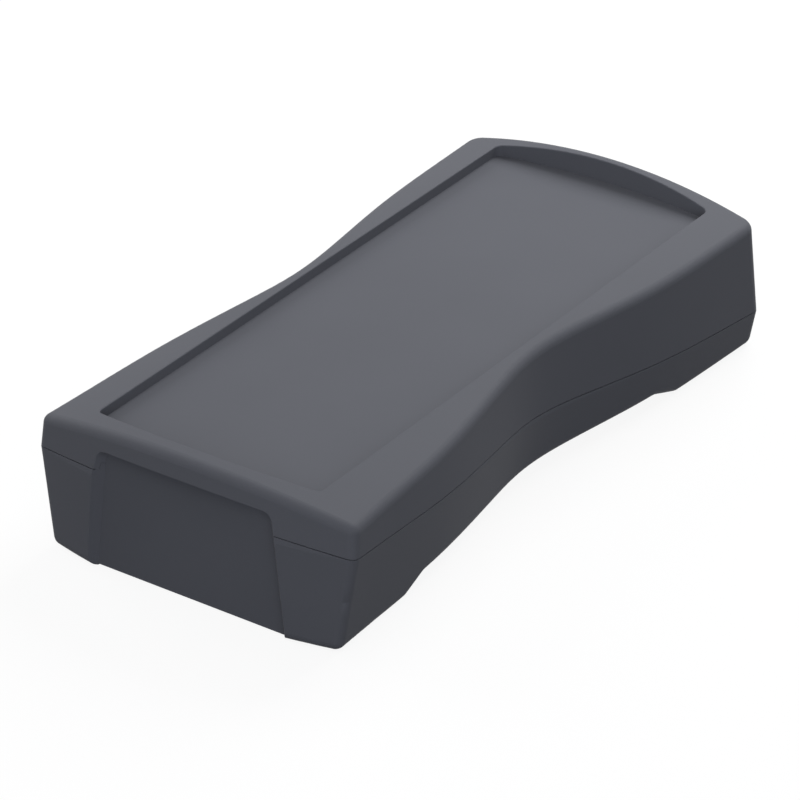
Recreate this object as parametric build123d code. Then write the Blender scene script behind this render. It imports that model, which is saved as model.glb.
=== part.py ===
from build123d import *
import math
import os

# Handheld instrument case, waisted in plan and crowned across its top: an injection moulded
# top shell and bottom shell that meet on a sloping parting line, a flat end panel held in
# slots between them, and four thread-forming screws driven from the underside.
# Millimetres. +X is the case's right side, +Y points from the panel end to the plain end,
# +Z is up. The origin is the centre of the footprint, at the level of the feet.

# Overall form
LENGTH = 190.0
HEIGHT = 40.3
NEAR_HALF_WIDTH = 46.0
WAIST_HALF_WIDTH = 36.9
FAR_HALF_WIDTH = 44.8
BLEND_STATIONS = (0.20, 0.48, 0.76)     # share of the half length, from the waist
NEAR_BLEND = (0.25, 0.69, 0.89)         # share of the widening reached at each station
FAR_BLEND = (0.20, 0.69, 0.91)
NEAR_BOW = 6.5                          # rise of the arc in plan at the panel end
FAR_BOW = 1.1
NEAR_CORNER_R = 2.6
FAR_CORNER_R = 4.2
CROWN_R = 163.0                         # arch of the top across the width
TOP_TILT = 0.005                        # climb of the top and its recess towards the plain end
TOP_EDGE_R = 2.4
BOTTOM_EDGE_R = 2.5

# Draft of the walls away from the parting line, as rise over run
LOWER_SIDE_DRAFT = 0.150
LOWER_NEAR_DRAFT = 0.0
LOWER_FAR_DRAFT = 0.085
UPPER_SIDE_DRAFT = 0.052
UPPER_NEAR_DRAFT = 0.150
UPPER_FAR_DRAFT = 0.090

# Parting surface: a shallow arch across the width that slopes down towards the plain end
PARTING_LEVEL = 17.8                    # height on the side walls at mid length
PARTING_SLOPE = 0.0888
PARTING_ARCH = 2.3                      # rise from the side walls to the middle

# Walls and the joint between the shells
WALL = 2.4
SHADOW_GAP = 0.25
SHADOW_DEPTH = 0.6
TONGUE_INSET = 1.4
TONGUE_HEIGHT = 1.6
CLEARANCE = 0.1

# Feet: two full-width pads with ramps up to the raised middle
FOOT_HEIGHT = 3.2
NEAR_FOOT_LENGTH = 34.0
NEAR_RAMP = 7.5
FAR_FOOT_LENGTH = 36.6
FAR_RAMP = 9.5
RAMP_R = 4.0

# Keypad recess
RECESS_HALF_WIDTH = 32.1
RECESS_NEAR = 7.1                       # from the panel end to the recess at mid width
RECESS_FAR = 6.3                        # from the plain end to the recess at mid width
RECESS_NEAR_BOW = 5.2
RECESS_FAR_BOW = 3.0
RECESS_CORNER_R = 2.0
RECESS_FLOOR = 34.3
RECESS_FLOOR_T = 2.2
RECESS_LIP_R = 0.3

# End panel and the opening that frames it
PANEL_SETBACK = 4.5                     # outer face of the panel behind the middle of the end
PANEL_T = 2.0
PANEL_HALF_WIDTH = 29.2
PANEL_TOP = 32.9
PANEL_FOOT_HALF_WIDTH = 27.2
PANEL_FOOT_LEVEL = 0.35
PANEL_SHOULDER_LEVEL = 1.6
OPENING_HALF_BOTTOM = 27.3
OPENING_HALF_TOP = 23.7
OPENING_TOP = 32.0
OPENING_CORNER_R = 2.2
SIDE_FLARE = 0.9                        # widening of the opening per mm towards the outside
TOP_FLARE = 0.68
FLARE_CORNER_GROWTH = 0.25              # growth of the corner radius as the opening widens
GUIDE_HALF_WIDTH = 31.7
GUIDE_LIP = 1.6                         # thickness of the guide behind the panel
WINDOW_HALF_WIDTH = 25.0
SILL_LEVEL = 4.0
LINTEL_LEVEL = 30.6

# Screw columns in the bottom shell and bosses in the top shell
SCREW_X = 35.5
SCREW_END_DISTANCE = 14.5
COLUMN_D = 9.0
COLUMN_TOP = 9.5
CUP_D = 7.0
CUP_HEIGHT = 1.5
COUNTERBORE_D = 6.4
HEAD_SEAT = 4.0
CLEARANCE_HOLE_D = 3.4
BOSS_D = 6.8
PILOT_D = 2.5
PILOT_DEPTH = 12.0
WEB_T = 1.4
WEB_HEIGHT = 5.0

# Screw
SCREW_HEAD_D = 5.6
SCREW_HEAD_H = 2.2
SCREW_LENGTH = 16.0
SCREW_TIP = 1.5
SCREW_HEAD_R = 0.9
SCREW_TIP_D = 0.8
DRIVE_SPAN = 3.0
DRIVE_SLOT = 0.8
DRIVE_DEPTH = 1.3

# Circuit board bosses and stiffening ribs
BOARD_X = 24.0
BOARD_Y = 60.0
BOARD_BOSS_D = 5.5
BOARD_LEVEL = 11.0
BOARD_PILOT_D = 2.1
BOARD_PILOT_DEPTH = 6.0
KEYPAD_BOSS_X = 25.0
KEYPAD_BOSS_Y = 50.0
KEYPAD_BOSS_D = 4.5
KEYPAD_BOSS_DROP = 5.0
KEYPAD_PILOT_D = 1.7
RIB_T = 1.2
RIB_HEIGHT = 2.0
RIB_PITCH = 30.0
FLOOR_RIBS = 3
ROOF_RIB_X = 17.0

# Worked out from the driving dimensions
NEAR_Y = -LENGTH / 2
FAR_Y = LENGTH / 2
PANEL_Y = NEAR_Y + PANEL_SETBACK
SLOT_BACK = PANEL_Y + PANEL_T + CLEARANCE
GUIDE_BACK = SLOT_BACK + GUIDE_LIP
NEAR_SCREW_Y = NEAR_Y + SCREW_END_DISTANCE
FAR_SCREW_Y = FAR_Y - SCREW_END_DISTANCE
SCREW_SPOTS = [(x, y) for x in (-SCREW_X, SCREW_X) for y in (NEAR_SCREW_Y, FAR_SCREW_Y)]
BOARD_SPOTS = [(x, y) for x in (-BOARD_X, BOARD_X) for y in (-BOARD_Y, BOARD_Y)]
KEYPAD_SPOTS = [(x, y) for x in (-KEYPAD_BOSS_X, KEYPAD_BOSS_X) for y in (-KEYPAD_BOSS_Y, KEYPAD_BOSS_Y)]
MARGIN = 5.0                            # overshoot of tools past the surfaces they cut
FACES_DOWN = -0.5                       # upright part of a normal below which a face looks down


def side_stations():
    """(y, half width) pairs down one side wall at the parting line."""
    near_rise = NEAR_HALF_WIDTH - WAIST_HALF_WIDTH
    far_rise = FAR_HALF_WIDTH - WAIST_HALF_WIDTH
    near = [(s * NEAR_Y, WAIST_HALF_WIDTH + b * near_rise) for s, b in zip(BLEND_STATIONS, NEAR_BLEND)]
    far = [(s * FAR_Y, WAIST_HALF_WIDTH + b * far_rise) for s, b in zip(BLEND_STATIONS, FAR_BLEND)]
    return near[::-1] + [(0.0, WAIST_HALF_WIDTH)] + far


def outline(inset, level, slope, side_draft, near_draft, far_draft):
    """Plan outline on the plane z = level - slope * y, drawn in by the inset and the draft."""

    def height(y):
        return level - slope * y

    def away(y):
        return abs(height(y) - (PARTING_LEVEL - PARTING_SLOPE * y))

    near_half = NEAR_HALF_WIDTH - inset - side_draft * away(NEAR_Y)
    far_half = FAR_HALF_WIDTH - inset - side_draft * away(FAR_Y)
    near_mid = NEAR_Y + inset + near_draft * away(NEAR_Y)
    far_mid = FAR_Y - inset - far_draft * away(FAR_Y)
    near_end = near_mid + NEAR_BOW * (near_half / NEAR_HALF_WIDTH) ** 2
    far_end = far_mid - FAR_BOW * (far_half / FAR_HALF_WIDTH) ** 2
    side = [(near_half, near_end)]
    side += [(w - inset - side_draft * away(y), y) for y, w in side_stations()]
    side += [(far_half, far_end)]
    right = [Vector(x, y, height(y)) for x, y in side]
    left = [Vector(-x, y, height(y)) for x, y in reversed(side)]
    near = Vector(0, near_mid, height(near_mid))
    far = Vector(0, far_mid, height(far_mid))
    edges = [
        Edge.make_spline(right),
        Edge.make_three_point_arc(right[-1], far, left[0]),
        Edge.make_spline(left),
        Edge.make_three_point_arc(left[-1], near, right[0]),
    ]
    face = Face(Wire(edges))
    face = face.fillet_2d(NEAR_CORNER_R, face.vertices().sort_by(Axis.Y)[:2])
    return face.fillet_2d(FAR_CORNER_R, face.vertices().sort_by(Axis.Y)[-2:])


def underside(lift):
    """Block below the stepped underside: two feet, two ramps and the raised middle."""
    near_foot = NEAR_Y + NEAR_FOOT_LENGTH
    far_foot = FAR_Y - FAR_FOOT_LENGTH
    profile = Polyline(
        (NEAR_Y - MARGIN, -MARGIN),
        (NEAR_Y - MARGIN, lift),
        (near_foot, lift),
        (near_foot + NEAR_RAMP, FOOT_HEIGHT + lift),
        (far_foot - FAR_RAMP, FOOT_HEIGHT + lift),
        (far_foot, lift),
        (FAR_Y + MARGIN, lift),
        (FAR_Y + MARGIN, -MARGIN),
        close=True,
    )
    face = make_face(Plane.YZ * profile)
    bends = [v for v in face.vertices() if abs(v.Y) < LENGTH / 2]
    face = face.faces()[0].fillet_2d(RAMP_R, bends)
    return extrude(face, NEAR_HALF_WIDTH + MARGIN, dir=(1, 0, 0), both=True)


def tilted(shape, level):
    """The shape swung about the width, at a level at mid length, to follow the tilt of the top."""
    swing = Rot(math.degrees(math.atan(TOP_TILT)), 0, 0)
    return Pos(0, 0, level) * swing * Pos(0, 0, -level) * shape


def hull(inset):
    """Closed form of the case, drawn in from its outer skin."""
    lower = (LOWER_SIDE_DRAFT, LOWER_NEAR_DRAFT, LOWER_FAR_DRAFT)
    upper = (UPPER_SIDE_DRAFT, UPPER_NEAR_DRAFT, UPPER_FAR_DRAFT)
    bottom = outline(inset, 0, 0, *lower)
    middle = outline(inset, PARTING_LEVEL, PARTING_SLOPE, *lower)
    top = outline(inset, HEIGHT + MARGIN, 0, *upper)
    body = loft([bottom, middle], ruled=True) + loft([middle, top], ruled=True)
    crown = Pos(0, 0, HEIGHT - CROWN_R) * Cylinder(CROWN_R - inset, 2 * LENGTH, rotation=(90, 0, 0))
    return body & tilted(crown, HEIGHT) - underside(inset)


def rim(faces):
    """Edges that bound a group of faces from outside."""
    edges = [edge for face in faces for edge in face.edges()]
    return [edge for edge in edges if sum(edge.is_same(other) for other in edges) == 1]


def outer_form():
    """Solid of the whole case with the keypad recess, its edges rounded."""
    body = hull(0)
    crown = body.faces().sort_by(Axis.Z)[-1]
    body = fillet(crown.edges(), TOP_EDGE_R)
    flats = [f for f in body.faces() if f.normal_at().Z < FACES_DOWN and f.center().Z < PARTING_LEVEL / 2]
    body = fillet(rim(flats), BOTTOM_EDGE_R) - recess(0, RECESS_FLOOR)
    crown = body.faces().filter_by(GeomType.CYLINDER).sort_by(SortBy.AREA)[-1]
    return fillet(crown.inner_wires()[0].edges(), RECESS_LIP_R)


def parting(rise):
    """Everything below the parting surface raised by a distance square to it."""
    radius = NEAR_HALF_WIDTH**2 / (2 * PARTING_ARCH)
    drum = Cylinder(radius + rise, 2 * LENGTH, rotation=(90, 0, 0))
    ridge = Pos(0, 0, PARTING_LEVEL + PARTING_ARCH) * Rot(-math.degrees(math.atan(PARTING_SLOPE)), 0, 0)
    return ridge * Pos(0, 0, -radius) * drum


def recess(grow, level):
    """Block that fills the keypad recess from a level up, grown sideways for its walls."""
    half = RECESS_HALF_WIDTH + grow
    near = NEAR_Y + RECESS_NEAR - grow
    far = FAR_Y - RECESS_FAR + grow
    near_corner = near + RECESS_NEAR_BOW
    far_corner = far - RECESS_FAR_BOW
    edges = [
        Edge.make_line((half, near_corner), (half, far_corner)),
        Edge.make_three_point_arc((half, far_corner), (0, far), (-half, far_corner)),
        Edge.make_line((-half, far_corner), (-half, near_corner)),
        Edge.make_three_point_arc((-half, near_corner), (0, near), (half, near_corner)),
    ]
    face = Face(Wire(edges))
    face = face.fillet_2d(RECESS_CORNER_R + grow, face.vertices())
    return tilted(extrude(Pos(0, 0, level) * face, HEIGHT + MARGIN - level), RECESS_FLOOR)


def box(x0, x1, y0, y1, z0, z1):
    """Upright block between two opposite corners."""
    return Pos((x0 + x1) / 2, (y0 + y1) / 2, (z0 + z1) / 2) * Box(x1 - x0, y1 - y0, z1 - z0)


def post(diameter, x, y, z0, z1):
    """Upright cylinder between two levels."""
    return Pos(x, y, (z0 + z1) / 2) * Cylinder(diameter / 2, z1 - z0)


def opening():
    """Flared cut through the near wall that shows the end panel between the corner pillars."""
    reach = PANEL_SETBACK + NEAR_BOW

    def frame(distance):
        """Trapezoid on the plane at a distance in front of the panel."""
        side = SIDE_FLARE * distance
        top = OPENING_TOP + TOP_FLARE * distance
        lean = (OPENING_HALF_BOTTOM - OPENING_HALF_TOP) / (OPENING_TOP - PANEL_FOOT_LEVEL)
        half_top = OPENING_HALF_TOP + side - lean * TOP_FLARE * distance
        half_bottom = OPENING_HALF_BOTTOM + side + lean * (PANEL_FOOT_LEVEL + MARGIN)
        y = PANEL_Y - distance
        corners = [(half_bottom, -MARGIN), (half_top, top), (-half_top, top), (-half_bottom, -MARGIN)]
        face = Face(Wire.make_polygon([Vector(x, y, z) for x, z in corners]))
        corner_r = OPENING_CORNER_R + FLARE_CORNER_GROWTH * side
        return face.fillet_2d(corner_r, face.vertices().sort_by(Axis.Z)[-2:])

    return loft([frame(0), frame(reach)], ruled=True)


def panel_slot():
    """Room for the end panel, with the window behind it."""
    half = PANEL_HALF_WIDTH + CLEARANCE
    slot = box(-half, half, PANEL_Y, SLOT_BACK, PANEL_SHOULDER_LEVEL, PANEL_TOP + CLEARANCE)
    foot_half = PANEL_FOOT_HALF_WIDTH + CLEARANCE
    foot = box(-foot_half, foot_half, PANEL_Y, SLOT_BACK, -MARGIN, PANEL_SHOULDER_LEVEL)
    window = box(-WINDOW_HALF_WIDTH, WINDOW_HALF_WIDTH, SLOT_BACK, GUIDE_BACK, SILL_LEVEL, LINTEL_LEVEL)
    return slot + foot + window


def web(x, y, z0, z1):
    """Two thin walls that tie a screw column to the side wall and to the end wall."""
    half = WEB_T / 2
    side = max(NEAR_HALF_WIDTH, FAR_HALF_WIDTH)
    end = NEAR_Y if y < 0 else FAR_Y
    across = box(min(x, x * side / abs(x)), max(x, x * side / abs(x)), y - half, y + half, z0, z1)
    along = box(x - half, x + half, min(y, end), max(y, end), z0, z1)
    return across + along


def end_panel():
    """Flat plate whose foot reaches the underside between two shoulders."""
    back = PANEL_Y + PANEL_T
    plate = box(-PANEL_HALF_WIDTH, PANEL_HALF_WIDTH, PANEL_Y, back, PANEL_SHOULDER_LEVEL, PANEL_TOP)
    foot_half = PANEL_FOOT_HALF_WIDTH
    return plate + box(-foot_half, foot_half, PANEL_Y, back, PANEL_FOOT_LEVEL, PANEL_SHOULDER_LEVEL)


def walls(form, cavity):
    """Case walls, with the blocks beside the near opening that guide the end panel."""
    skin = form - cavity
    guides = form & box(-GUIDE_HALF_WIDTH, GUIDE_HALF_WIDTH, NEAR_Y, GUIDE_BACK, 0, HEIGHT)
    return skin + guides


def floor_ribs():
    """Stiffening ribs across the raised middle of the floor."""
    level = FOOT_HEIGHT + WALL
    half = NEAR_HALF_WIDTH
    places = [(i - (FLOOR_RIBS - 1) / 2) * RIB_PITCH for i in range(FLOOR_RIBS)]
    return [box(-half, half, y - RIB_T / 2, y + RIB_T / 2, 0, level + RIB_HEIGHT) for y in places]


def make_bottom_shell(block, cavity, grip):
    """Lower half: tongue round its rim, screw columns, board bosses and panel slots."""
    shell = block & parting(0)
    tongue = (hull(TONGUE_INSET) - cavity) & parting(TONGUE_HEIGHT)
    shell += tongue - parting(-WALL)
    extras = floor_ribs()
    for x, y in SCREW_SPOTS:
        extras.append(post(COLUMN_D, x, y, 0, COLUMN_TOP + CUP_HEIGHT))
        extras.append(web(x, y, 0, WEB_HEIGHT + WALL))
    for x, y in BOARD_SPOTS:
        extras.append(post(BOARD_BOSS_D, x, y, 0, BOARD_LEVEL))
    shell += [extra & grip for extra in extras]
    for x, y in SCREW_SPOTS:
        shell -= post(COUNTERBORE_D, x, y, -MARGIN, HEAD_SEAT)
        shell -= post(CLEARANCE_HOLE_D, x, y, 0, COLUMN_TOP + CUP_HEIGHT)
        shell -= post(CUP_D, x, y, COLUMN_TOP, COLUMN_TOP + CUP_HEIGHT + MARGIN)
    for x, y in BOARD_SPOTS:
        shell -= post(BOARD_PILOT_D, x, y, BOARD_LEVEL - BOARD_PILOT_DEPTH, BOARD_LEVEL + MARGIN)
    return shell - opening() - panel_slot()


def make_top_shell(block, cavity, grip):
    """Upper half: keypad recess, groove and shadow gap round its rim, screw bosses."""
    shell = block - parting(0)
    shell -= parting(SHADOW_GAP) - hull(SHADOW_DEPTH)
    groove = hull(TONGUE_INSET - CLEARANCE) & parting(TONGUE_HEIGHT + CLEARANCE)
    shell -= groove - hull(WALL + CLEARANCE)
    pocket = recess(0, RECESS_FLOOR)
    roof = RECESS_FLOOR - RECESS_FLOOR_T
    top = RECESS_FLOOR - RECESS_FLOOR_T / 2
    extras = []
    for x in (-ROOF_RIB_X, ROOF_RIB_X):
        rib = box(x - RIB_T / 2, x + RIB_T / 2, NEAR_SCREW_Y, FAR_SCREW_Y, roof - RIB_HEIGHT, top)
        extras.append(rib)
    for x, y in KEYPAD_SPOTS:
        extras.append(post(KEYPAD_BOSS_D, x, y, roof - KEYPAD_BOSS_DROP, top))
    for x, y in SCREW_SPOTS:
        extras.append(post(BOSS_D, x, y, COLUMN_TOP, HEIGHT))
        extras.append(web(x, y, PARTING_LEVEL, HEIGHT) - parting(2 * TONGUE_HEIGHT))
    shell += [(extra & grip) - pocket for extra in extras]
    for x, y in SCREW_SPOTS:
        shell -= post(PILOT_D, x, y, COLUMN_TOP - MARGIN, COLUMN_TOP + PILOT_DEPTH)
    for x, y in KEYPAD_SPOTS:
        level = roof - KEYPAD_BOSS_DROP
        shell -= post(KEYPAD_PILOT_D, x, y, level - MARGIN, level + KEYPAD_BOSS_DROP)
    return shell - opening() - panel_slot()


def screw(x, y):
    """Pan-head thread-forming screw, head down in its counterbore, with a cross recess."""
    under = HEAD_SEAT - SCREW_HEAD_H
    tip_level = HEAD_SEAT + SCREW_LENGTH - SCREW_TIP
    head = post(SCREW_HEAD_D, x, y, under, HEAD_SEAT)
    head = fillet(head.edges().filter_by(GeomType.CIRCLE).sort_by(Axis.Z)[0], SCREW_HEAD_R)
    shank = post(PILOT_D, x, y, HEAD_SEAT, tip_level)
    tip = Pos(x, y, tip_level + SCREW_TIP / 2) * Cone(PILOT_D / 2, SCREW_TIP_D / 2, SCREW_TIP)
    slot = Box(DRIVE_SPAN, DRIVE_SLOT, 2 * DRIVE_DEPTH)
    cross = Pos(x, y, under) * (slot + Rot(0, 0, 90) * slot)
    return head + shank + tip - cross


def main():
    """Build every piece where it sits in the closed case and write one file for each."""
    form = outer_form()
    cavity = hull(WALL) - recess(WALL, RECESS_FLOOR - RECESS_FLOOR_T)
    grip = hull(WALL / 2)
    block = walls(form, cavity)
    pieces = {
        "bottom_shell": make_bottom_shell(block, cavity, grip),
        "top_shell": make_top_shell(block, cavity, grip),
        "end_panel": end_panel(),
        "case_screws": Compound(children=[screw(x, y).solid() for x, y in SCREW_SPOTS]),
    }
    os.makedirs("parts", exist_ok=True)
    for name, piece in pieces.items():
        export_step(piece, f"parts/{name}.step")
        print(name, len(piece.solids()), "solids", round(piece.volume), "mm3")


main()
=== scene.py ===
import math

import bpy
from mathutils import Matrix, Vector

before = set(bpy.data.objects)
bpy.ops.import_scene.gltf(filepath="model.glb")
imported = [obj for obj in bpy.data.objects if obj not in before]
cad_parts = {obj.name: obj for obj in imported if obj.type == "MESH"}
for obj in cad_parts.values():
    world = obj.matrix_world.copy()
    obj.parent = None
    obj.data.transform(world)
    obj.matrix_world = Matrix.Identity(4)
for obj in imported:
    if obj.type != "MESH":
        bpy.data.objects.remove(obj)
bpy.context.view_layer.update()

# Camera, fitted to the edges of the case in the photograph: metres and degrees, lens in mm
AIM = Vector((0.0, 0.0, 0.018))
CAMERA_AZIMUTH = 34.8565
CAMERA_ELEVATION = 29.7525
CAMERA_ROLL = 0.1021
CAMERA_SLIDE = 0.0026972
CAMERA_LIFT = 0.0055619
CAMERA_DISTANCE = 1.1250444
CAMERA_LENS = 205.5351
CAMERA_SENSOR = 36.0

# Colours, linear
GRAPHITE = (0.0965, 0.0995, 0.1130)
# The shell's graphite made a little darker for the end panel: painted shade of its recess under
# the top strip
GRAPHITE_PANEL_SHADED = (0.0930, 0.0960, 0.1095)
ZINC = (0.62, 0.63, 0.64)
WHITE = (1.0, 1.0, 1.0)
COOL_WHITE = (0.86, 0.90, 1.0)
FLOOR_WHITE = (0.85, 0.85, 0.85)
FLOOR_BOUNCE = (0.10, 0.10, 0.10)

# Moulded plastic: noise in cycles per metre, depths in metres
SHELL_GRAIN = 2600.0
SHELL_RELIEF = 0.35
PANEL_GRAIN = 3400.0
PANEL_RELIEF = 0.25
PLASTIC_CLOUD = 38.0
PLASTIC_SWING = 0.07
PLASTIC_ROUGHNESS = (0.42, 0.50)
PLASTIC_IOR = 1.5
PLASTIC_SHINE = 0.02            # the grain of the mould leaves next to no gloss
FINE_DEPTH = 0.00003
COARSE_DEPTH = 0.00006
COARSE_GRAIN = 0.45             # share of the fine grain's scale
COARSE_RELIEF = 0.5             # share of the fine grain's strength

# Zinc plating: noise in cycles per metre, depth in metres
ZINC_CLOUD = 900.0
ZINC_SWING = 0.08
ZINC_ROUGHNESS = (0.24, 0.38)
ZINC_MARKS = 5200.0
ZINC_MARK_RELIEF = 0.25
ZINC_MARK_DEPTH = 0.00002

NOISE_RANGE = (0.3, 0.7)        # most values of a noise lie between these

FLOOR_SIDE = 8.0
FLOOR_DROP = 0.0001             # keeps the floor out of the plane of the feet
FLOOR_GLOW = 0.9                # share of plain white in what the camera sees of the floor
WORLD_FILL = 0.36


def material(name):
    """Empty node material with its Principled shader, wired to the output."""
    made = bpy.data.materials.new(name)
    made.use_nodes = True
    tree = made.node_tree
    tree.nodes.clear()
    output = tree.nodes.new("ShaderNodeOutputMaterial")
    shader = tree.nodes.new("ShaderNodeBsdfPrincipled")
    tree.links.new(shader.outputs["BSDF"], output.inputs["Surface"])
    return made, tree, shader


def noise(tree, coordinates, scale, detail, roughness=0.5):
    """Noise of one grain size, in cycles per metre."""
    node = tree.nodes.new("ShaderNodeTexNoise")
    node.inputs["Scale"].default_value = scale
    node.inputs["Detail"].default_value = detail
    node.inputs["Roughness"].default_value = roughness
    tree.links.new(coordinates, node.inputs["Vector"])
    return node.outputs["Fac"]


def spread(tree, value, low, high):
    """Noise brought to a range of values."""
    node = tree.nodes.new("ShaderNodeMapRange")
    node.inputs["From Min"].default_value = NOISE_RANGE[0]
    node.inputs["From Max"].default_value = NOISE_RANGE[1]
    node.inputs["To Min"].default_value = low
    node.inputs["To Max"].default_value = high
    tree.links.new(value, node.inputs["Value"])
    return node.outputs["Result"]


def tinted(tree, value, colour, swing):
    """Colour that varies by a share of itself, both ways."""
    node = tree.nodes.new("ShaderNodeMix")
    node.data_type = "RGBA"
    node.inputs["A"].default_value = (*[c * (1 - swing) for c in colour], 1)
    node.inputs["B"].default_value = (*[c * (1 + swing) for c in colour], 1)
    tree.links.new(value, node.inputs["Factor"])
    return node.outputs["Result"]


def averaged(tree, first, second):
    """Mean of two values."""
    node = tree.nodes.new("ShaderNodeMix")
    node.data_type = "FLOAT"
    node.inputs["Factor"].default_value = 0.5
    tree.links.new(first, node.inputs["A"])
    tree.links.new(second, node.inputs["B"])
    return node.outputs["Result"]


def bumped(tree, height, strength, depth, below=None):
    """Bump of a height field, on top of another bump where one is given."""
    node = tree.nodes.new("ShaderNodeBump")
    node.inputs["Strength"].default_value = strength
    node.inputs["Distance"].default_value = depth
    tree.links.new(height, node.inputs["Height"])
    if below is not None:
        tree.links.new(below, node.inputs["Normal"])
    return node.outputs["Normal"]


def moulded_plastic(name, colour, grain, relief):
    """Matt ABS with the fine spark-eroded grain of its mould and a faint cloudiness."""
    made, tree, shader = material(name)
    place = tree.nodes.new("ShaderNodeTexCoord").outputs["Object"]
    cloud = noise(tree, place, PLASTIC_CLOUD, 2.0)
    fine = noise(tree, place, grain, 3.0, 0.6)
    coarse = noise(tree, place, grain * COARSE_GRAIN, 2.0)
    tint = tinted(tree, averaged(tree, cloud, fine), colour, PLASTIC_SWING)
    tree.links.new(tint, shader.inputs["Base Color"])
    tree.links.new(spread(tree, fine, *PLASTIC_ROUGHNESS), shader.inputs["Roughness"])
    pits = bumped(tree, coarse, relief * COARSE_RELIEF, COARSE_DEPTH)
    tree.links.new(bumped(tree, fine, relief, FINE_DEPTH, pits), shader.inputs["Normal"])
    shader.inputs["IOR"].default_value = PLASTIC_IOR
    shader.inputs["Specular IOR Level"].default_value = PLASTIC_SHINE
    return made


def zinc_plate(name):
    """Bright zinc plating, a little clouded, with fine turning marks."""
    made, tree, shader = material(name)
    place = tree.nodes.new("ShaderNodeTexCoord").outputs["Object"]
    cloud = noise(tree, place, ZINC_CLOUD, 3.0)
    marks = noise(tree, place, ZINC_MARKS, 2.0)
    tree.links.new(tinted(tree, cloud, ZINC, ZINC_SWING), shader.inputs["Base Color"])
    tree.links.new(spread(tree, cloud, *ZINC_ROUGHNESS), shader.inputs["Roughness"])
    relief = bumped(tree, marks, ZINC_MARK_RELIEF, ZINC_MARK_DEPTH)
    tree.links.new(relief, shader.inputs["Normal"])
    shader.inputs["Metallic"].default_value = 1.0
    return made


def dress(node, made):
    """Gives a CAD node its material."""
    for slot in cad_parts[node].material_slots:
        slot.material = made


def seen_directly(tree):
    """1 for rays of the camera, mirrors and glass, 0 for the light that falls on things."""
    path = tree.nodes.new("ShaderNodeLightPath")
    seen = path.outputs["Is Camera Ray"]
    for other in ("Is Glossy Ray", "Is Transmission Ray"):
        either = tree.nodes.new("ShaderNodeMath")
        either.operation = "MAXIMUM"
        tree.links.new(seen, either.inputs[0])
        tree.links.new(path.outputs[other], either.inputs[1])
        seen = either.outputs["Value"]
    return seen


def mixed(tree, share, first, second):
    """Mix of two shaders; the share of the second is a number or a socket."""
    node = tree.nodes.new("ShaderNodeMixShader")
    if isinstance(share, float):
        node.inputs["Fac"].default_value = share
    else:
        tree.links.new(share, node.inputs["Fac"])
    tree.links.new(first, node.inputs[1])
    tree.links.new(second, node.inputs[2])
    return node.outputs["Shader"]


def diffuse(tree, colour):
    """Matt shader of one colour."""
    node = tree.nodes.new("ShaderNodeBsdfDiffuse")
    node.inputs["Color"].default_value = (*colour, 1)
    return node.outputs["BSDF"]


def background(tree, strength):
    """Plain white world shader."""
    node = tree.nodes.new("ShaderNodeBackground")
    node.inputs["Color"].default_value = (*WHITE, 1)
    node.inputs["Strength"].default_value = strength
    return node.outputs["Background"]


def floor():
    """Pale floor just below the feet, white to the camera apart from the case's shadow."""
    half = FLOOR_SIDE / 2
    mesh = bpy.data.meshes.new("floor")
    corners = [(-half, -half), (half, -half), (half, half), (-half, half)]
    mesh.from_pydata([(x, y, -FLOOR_DROP) for x, y in corners], [], [(0, 1, 2, 3)])
    ground = bpy.data.objects.new("floor", mesh)
    bpy.context.collection.objects.link(ground)
    made = bpy.data.materials.new("pale_floor")
    made.use_nodes = True
    tree = made.node_tree
    tree.nodes.clear()
    output = tree.nodes.new("ShaderNodeOutputMaterial")
    glow = tree.nodes.new("ShaderNodeEmission")
    shown = mixed(tree, FLOOR_GLOW, diffuse(tree, FLOOR_WHITE), glow.outputs["Emission"])
    surface = mixed(tree, seen_directly(tree), diffuse(tree, FLOOR_BOUNCE), shown)
    tree.links.new(surface, output.inputs["Surface"])
    mesh.materials.append(made)


def surroundings():
    """White to the camera, a low even light on the case."""
    world = bpy.data.worlds.new("surroundings")
    world.use_nodes = True
    tree = world.node_tree
    tree.nodes.clear()
    output = tree.nodes.new("ShaderNodeOutputWorld")
    surface = mixed(tree, seen_directly(tree), background(tree, WORLD_FILL), background(tree, 1.0))
    tree.links.new(surface, output.inputs["Surface"])
    bpy.context.scene.world = world


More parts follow.
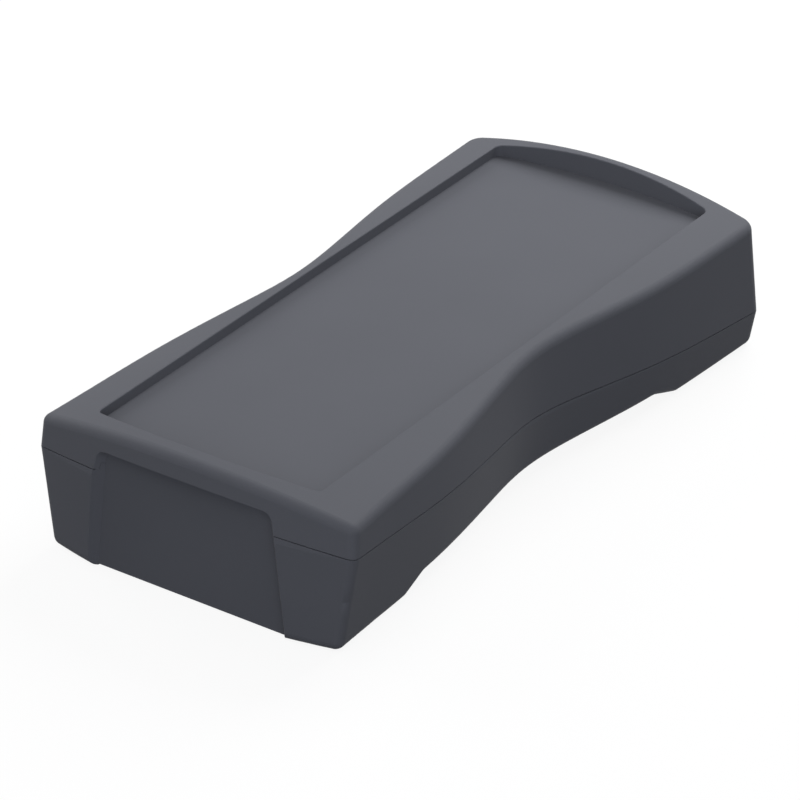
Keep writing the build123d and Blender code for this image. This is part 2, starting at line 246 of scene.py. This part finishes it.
def lamp(name, place, side, power, colour=WHITE):
    """Soft square light that faces the case: metres and watts."""
    light = bpy.data.lights.new(name, "AREA")
    light.shape = "SQUARE"
    light.size = side
    light.energy = power
    light.color = colour
    holder = bpy.data.objects.new(name, light)
    holder.location = place
    holder.rotation_euler = (AIM - Vector(place)).to_track_quat("-Z", "Y").to_euler()
    bpy.context.collection.objects.link(holder)


def camera():
    """Camera on the line of sight of the photograph."""
    turn = math.radians(CAMERA_AZIMUTH)
    tip = math.radians(CAMERA_ELEVATION)
    level = Vector((math.cos(turn), math.sin(turn), 0))
    back = Vector((math.cos(tip) * math.sin(turn), -math.cos(tip) * math.cos(turn), math.sin(tip)))
    right = Matrix.Rotation(math.radians(CAMERA_ROLL), 3, back) @ level
    up = back.cross(right)
    data = bpy.data.cameras.new("camera")
    data.sensor_width = CAMERA_SENSOR
    data.lens = CAMERA_LENS
    eye = bpy.data.objects.new("camera", data)
    place = AIM - right * CAMERA_SLIDE - up * CAMERA_LIFT + back * CAMERA_DISTANCE
    axes = Matrix((right, up, back)).transposed()
    eye.matrix_world = Matrix.Translation(place) @ axes.to_4x4()
    bpy.context.collection.objects.link(eye)
    bpy.context.scene.camera = eye


shell_plastic = moulded_plastic("shell_plastic", GRAPHITE, SHELL_GRAIN, SHELL_RELIEF)
# The end panel's plastic carries the painted shade of its recess in its darker colour
panel_plastic = moulded_plastic("panel_plastic", GRAPHITE_PANEL_SHADED, PANEL_GRAIN, PANEL_RELIEF)
dress("top_shell", shell_plastic)
dress("bottom_shell", shell_plastic)
dress("end_panel", panel_plastic)
dress("case_screws", zinc_plate("screw_steel"))

floor()
surroundings()
lamp("far_overhead", (0.0, 0.45, 0.45), side=0.4, power=3.8)
lamp("left", (-0.9, 0.0, 0.5), side=0.6, power=4.2)
lamp("high_front", (0.0, -0.7, 1.2), side=0.7, power=2.75)
lamp("front_right", (0.75, -0.75, 0.45), side=0.6, power=2.9, colour=COOL_WHITE)
lamp("low_front", (0.45, -0.95, 0.3), side=0.5, power=1.4, colour=COOL_WHITE)
camera()
bpy.context.scene.view_settings.view_transform = "Standard"
